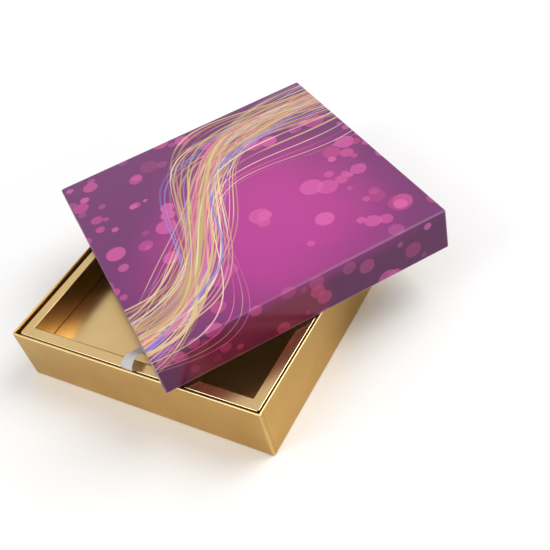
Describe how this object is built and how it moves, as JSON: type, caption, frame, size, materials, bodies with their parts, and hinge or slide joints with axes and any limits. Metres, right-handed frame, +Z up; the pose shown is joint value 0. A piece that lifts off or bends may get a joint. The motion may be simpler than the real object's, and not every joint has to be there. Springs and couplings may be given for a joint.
{
  "type": "two-piece gift box",
  "caption": "Square rigid gift box: gold-wrapped base with a lift-out folded insert and ribbon pull, and a printed lid resting turned across the rim.",
  "frame": {"origin": "centre of the base's underside, on the surface that the box stands on", "axes": "+Z up; +X along the base's front wall to the right, +Y to the back; the ribbon comes out at the middle of the front (-Y) side"},
  "size_m": [0.2846, 0.2846, 0.0738],
  "materials": {
    "gold_paper": "metallised gold art paper, satin, softly mirror-like",
    "gold_card": "metallised pale gold card, satin",
    "printed_paper": "purple to magenta printed art paper with gloss laminate",
    "greyboard": "raw grey board",
    "white_paper": "uncoated white lining paper",
    "kraft_tape": "gummed kraft tape",
    "satin_ribbon": "silver-white satin",
    "clear_tape": "clear adhesive tape"
  },
  "bodies": {
    "base": {"base_wrap": "gold_paper", "base_bottom_sheet": "gold_paper", "base_board": "greyboard", "base_liner": "white_paper", "base_corner_tape_back_right": "kraft_tape", "base_corner_tape_back_left": "kraft_tape", "base_corner_tape_front_left": "kraft_tape", "base_corner_tape_front_right": "kraft_tape"},
    "insert": {"insert_frame": "gold_card", "insert_floor": "gold_card", "ribbon_pull": "satin_ribbon", "ribbon_patch": "clear_tape"},
    "lid": {"lid_wrap": "printed_paper", "lid_board": "greyboard", "lid_liner": "white_paper", "lid_corner_tape_back_right": "kraft_tape", "lid_corner_tape_back_left": "kraft_tape", "lid_corner_tape_front_left": "kraft_tape", "lid_corner_tape_front_right": "kraft_tape"}
  },
  "joints": [
    {"name": "insert_lift", "type": "slide", "parent": "base", "child": "insert", "axis": [0, 0, 1], "range_m": [0, 0.045]},
    {"name": "lid_lift", "type": "slide", "parent": "insert", "child": "lid", "axis": [0, 0, 1], "range_m": [0, 0.06]}
  ]
}
